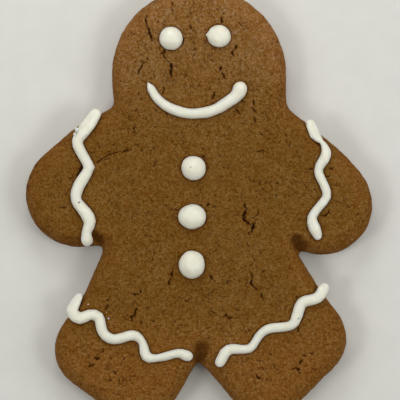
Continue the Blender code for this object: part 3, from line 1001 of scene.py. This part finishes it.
def gingerbread_material(settings):
    """Dry baked crumb: grain, warm patches and a redder rim, with painted shade in the pits, the fine
    crackle, the crevices and along the icing, and painted light on the head.
    """
    nodes = Nodes("gingerbread crumb")
    place = nodes.add("ShaderNodeTexCoord").outputs["Object"]
    frayed = nodes.shifted(place, 900, 0.5 * MM)
    torn = nodes.shifted(place, 300, 2.2 * MM)

    patches = nodes.noise(place, 75, 3)
    mottle = nodes.noise(place, 260, 3)
    grains = nodes.noise(place, 1150, 3, 0.7)
    dust = nodes.noise(place, 3000, 1)
    pits = nodes.dots(frayed, 950, 0.08, 0.36, 0.35)
    sugar = nodes.dots(frayed, 470, 0.04, 0.13, 0.72)
    broken = nodes.remap(nodes.noise(place, 800, 1), 0.48, 0.56, 0.0, 1.0)
    crackled = nodes.math("MULTIPLY", broken, nodes.remap(nodes.noise(place, 110, 1), 0.48, 0.6, 0.0, 1.0))
    crackle = nodes.math("MULTIPLY", nodes.cell_edges(torn, 300, 0.0, 0.06), crackled)

    rim = nodes.math("MULTIPLY", nodes.attribute("rim"), nodes.remap(patches, 0.35, 0.6, 0.5, 1.0))
    up_cookie = nodes.add("ShaderNodeSeparateXYZ", Vector=place).outputs["Y"]
    colour = nodes.mix(rim, opaque(settings.baked), opaque(settings.toasted))
    feet = nodes.remap(up_cookie, *FEET_REACH, 1.0, 0.0)
    colour = nodes.mix(feet, colour, opaque(settings.feet))
    colour = nodes.mix(nodes.remap(mottle, 0.5, 0.72, 0.0, 0.5), colour, opaque(settings.toasted))
    for value, low, high, darkest, palest in (
        (patches, 0.35, 0.65, 0.95, 1.05),
        (mottle, 0.35, 0.65, 0.93, 1.07),
        (grains, 0.3, 0.7, 0.58, 1.20),
        (dust, 0.3, 0.7, 0.60, 1.20),
    ):
        colour = nodes.shade(colour, nodes.remap(value, low, high, darkest, palest))
    colour = nodes.shade(colour, nodes.remap(sugar, 0.0, 1.0, 1.0, 1.2))
    # Painted light and sheen: the head made brighter and paler towards its top.
    head = nodes.remap(up_cookie, *HEAD_REACH, 0.0, 1.0)
    colour = nodes.mix(head, colour, HEAD_PAINTED_LIGHT, "MULTIPLY")
    # Painted shade in the small pits and along the fine crackle, in the crevice shade colour.
    colour = nodes.mix(nodes.math("MULTIPLY", pits, 0.7), colour, opaque(settings.painted_crevice_shade))
    colour = nodes.mix(nodes.math("MULTIPLY", crackle, 0.5), colour, opaque(settings.painted_crevice_shade))
    # Painted contact shadow in a thin band along the edge of the icing.
    painted_icing_shadow = nodes.math("MULTIPLY", nodes.attribute("painted_icing_shadow"), 0.6)
    colour = nodes.mix(painted_icing_shadow, colour, opaque(settings.painted_crevice_shade))
    # Painted shade down in the cracks, fissures, pores, pits, chips and creases, as deep as they sink.
    painted_depth_shade = nodes.remap(nodes.attribute("painted_crevice_shade"), 0.10, 0.85, 0.0, 0.88)
    nodes.set(nodes.shader.inputs["Base Color"], nodes.mix(painted_depth_shade, colour, opaque(settings.painted_crevice_shade)))
    nodes.set(nodes.shader.inputs["Roughness"], nodes.remap(grains, 0.3, 0.7, 0.72, 0.9))
    nodes.shader.inputs["Specular IOR Level"].default_value = 0.06

    relief = nodes.math("ADD", nodes.math("MULTIPLY", grains, 1.6), nodes.math("MULTIPLY", dust, 0.4))
    relief = nodes.math("SUBTRACT", relief, nodes.math("MULTIPLY", pits, 0.6))
    relief = nodes.math("SUBTRACT", relief, nodes.math("MULTIPLY", crackle, 0.8))
    nodes.set(nodes.shader.inputs["Normal"], nodes.bump(relief, 0.8, 0.30 * MM))
    return nodes.material


def icing_material(settings):
    """Set royal icing: off-white, faintly chalky and a little translucent."""
    nodes = Nodes("royal icing")
    place = nodes.add("ShaderNodeTexCoord").outputs["Object"]
    cloud = nodes.noise(place, 420, 3)
    chalk = nodes.noise(place, 2600, 2)
    duller = tuple(channel * factor for channel, factor in zip(settings.colour, (0.95, 0.94, 0.90)))
    colour = nodes.mix(nodes.remap(cloud, 0.35, 0.65, 0.0, 1.0), opaque(settings.colour), opaque(duller))
    colour = nodes.mix(nodes.attribute("pit"), colour, ICING_PIT_COLOUR)
    nodes.set(nodes.shader.inputs["Base Color"], colour)
    nodes.set(nodes.shader.inputs["Roughness"], nodes.remap(chalk, 0.3, 0.7, 0.38, 0.52))
    nodes.shader.inputs["Specular IOR Level"].default_value = 0.4
    nodes.shader.inputs["Subsurface Weight"].default_value = 0.85
    nodes.shader.inputs["Subsurface Radius"].default_value = (1.0, 0.9, 0.7)
    nodes.shader.inputs["Subsurface Scale"].default_value = 3.0 * MM
    nodes.set(nodes.shader.inputs["Normal"], nodes.bump(nodes.noise(place, 900, 3), 0.18, 0.12 * MM))
    return nodes.material


def floor_material(colour):
    """Pale matt paper with a very faint mottle."""
    nodes = Nodes("pale floor")
    place = nodes.add("ShaderNodeTexCoord").outputs["Object"]
    darker = tuple(channel * 0.975 for channel in colour)
    mottle = nodes.remap(nodes.noise(place, 160, 4), 0.35, 0.65, 0.0, 1.0)
    nodes.set(nodes.shader.inputs["Base Color"], nodes.mix(mottle, opaque(colour), opaque(darker)))
    nodes.shader.inputs["Roughness"].default_value = 0.9
    nodes.shader.inputs["Specular IOR Level"].default_value = 0.2
    return nodes.material


def finish_piece(piece, material, slot, *replaced):
    """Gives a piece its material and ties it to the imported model."""
    piece.data.materials.append(material)
    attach(piece, BODY)
    if replaced:
        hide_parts(*replaced)


# ---------------------------------------------------------------- stage


def add_lamp(name, azimuth, elevation, distance, size, power):
    """A round soft lamp that faces the cookie; azimuth 0 is +X."""
    lamp = bpy.data.lights.new(name, "AREA")
    lamp.shape = "DISK"
    lamp.size = size
    lamp.energy = power
    around = math.radians(azimuth)
    up = math.radians(elevation)
    towards = Vector((math.cos(up) * math.cos(around), math.cos(up) * math.sin(around), math.sin(up)))
    obj = bpy.data.objects.new(name, lamp)
    obj.location = towards * distance
    obj.rotation_euler = towards.to_track_quat("Z", "Y").to_euler()
    bpy.context.scene.collection.objects.link(obj)


def add_floor(settings):
    """A wide pale floor just under the cookie."""
    bm = bmesh.new()
    bmesh.ops.create_grid(bm, x_segments=8, y_segments=8, size=1.5)
    bmesh.ops.translate(bm, verts=bm.verts, vec=(0, 0, CAD_BOX[0][2] - 0.05 * MM))
    floor = add_object("floor", bm)
    floor.data.materials.append(floor_material(settings.floor))


def add_camera(settings):
    """A camera straight above, upright with the head at the top."""
    centre = Vector([along * MM for along in VIEW_CENTRE])
    camera = bpy.data.cameras.new("camera")
    camera.sensor_width = 36
    camera.lens = camera.sensor_width * settings.camera_height / settings.view_width
    camera.clip_start = 0.01
    camera.clip_end = 10
    obj = bpy.data.objects.new("camera", camera)
    obj.location = centre + Vector((0, 0, settings.camera_height))
    bpy.context.scene.collection.objects.link(obj)
    bpy.context.scene.camera = obj


def add_lamps(settings):
    """One lamp above, a near one beyond the head and others all round, as in a softly lit room."""
    for name, azimuth, elevation, distance, size, power in LAMPS:
        add_lamp(name, azimuth, elevation, distance, size, power * settings.brightness)


def set_world():
    """A faint even light from all round."""
    world = bpy.data.worlds.new("pale room")
    world.use_nodes = True
    background = world.node_tree.nodes["Background"]
    background.inputs["Color"].default_value = (0.95, 0.97, 1.0, 1.0)
    background.inputs["Strength"].default_value = 0.03
    bpy.context.scene.world = world


# ---------------------------------------------------------------- operators


class GINGERBREAD_OT_bake(bpy.types.Operator):
    """Bake the body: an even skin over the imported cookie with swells, crumb, pores and cracks"""

    bl_idname = "gingerbread.bake"
    bl_label = "Bake Body"

    def execute(self, context):
        settings = context.scene.gingerbread_body
        seat = context.scene.gingerbread_icing.seat
        finish_piece(bake_body(settings, seat), gingerbread_material(settings), "gingerbread", COOKIE_NODE)
        return {"FINISHED"}


class GINGERBREAD_OT_pipe(bpy.types.Operator):
    """Pipe the icing: eyes, buttons, smile and the wavy lines on the arms and legs"""

    bl_idname = "gingerbread.pipe"
    bl_label = "Pipe Icing"

    def execute(self, context):
        settings = context.scene.gingerbread_icing
        material = icing_material(settings)
        nodes = sorted(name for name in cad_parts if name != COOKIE_NODE)
        for seed, node in enumerate(nodes):
            finish_piece(pipe_piece(node, settings, seed), material, "icing", node)
        finish_piece(sugar_bits(), material, "icing")
        return {"FINISHED"}


class GINGERBREAD_OT_stage(bpy.types.Operator):
    """Set the stage: a pale floor, soft lamps and a camera straight above the cookie"""

    bl_idname = "gingerbread.stage"
    bl_label = "Set Stage"

    def execute(self, context):
        settings = context.scene.gingerbread_stage
        add_floor(settings)
        add_lamps(settings)
        add_camera(settings)
        set_world()
        context.scene.view_settings.view_transform = "Standard"
        return {"FINISHED"}


class GINGERBREAD_PT_panel(bpy.types.Panel):
    """Lists the steps and their settings in the sidebar"""

    bl_idname = "GINGERBREAD_PT_panel"
    bl_label = "Gingerbread Man"
    bl_space_type = "VIEW_3D"
    bl_region_type = "UI"
    bl_category = "Gingerbread"

    def draw(self, context):
        steps = (
            ("gingerbread.bake", context.scene.gingerbread_body),
            ("gingerbread.pipe", context.scene.gingerbread_icing),
            ("gingerbread.stage", context.scene.gingerbread_stage),
        )
        for operator, settings in steps:
            column = self.layout.box().column()
            for key in settings.__annotations__:
                column.prop(settings, key)
            column.operator(operator)


CLASSES = (
    GingerbreadBody,
    GingerbreadIcing,
    GingerbreadStage,
    GINGERBREAD_OT_bake,
    GINGERBREAD_OT_pipe,
    GINGERBREAD_OT_stage,
    GINGERBREAD_PT_panel,
)


def register():
    for cls in CLASSES:
        bpy.utils.register_class(cls)
    bpy.types.Scene.gingerbread_body = PointerProperty(type=GingerbreadBody)
    bpy.types.Scene.gingerbread_icing = PointerProperty(type=GingerbreadIcing)
    bpy.types.Scene.gingerbread_stage = PointerProperty(type=GingerbreadStage)


def unregister():
    del bpy.types.Scene.gingerbread_stage
    del bpy.types.Scene.gingerbread_icing
    del bpy.types.Scene.gingerbread_body
    for cls in reversed(CLASSES):
        bpy.utils.unregister_class(cls)


def main():
    register()
    bpy.ops.gingerbread.bake()
    bpy.ops.gingerbread.pipe()
    bpy.ops.gingerbread.stage()


if __name__ == "__main__":
    main()
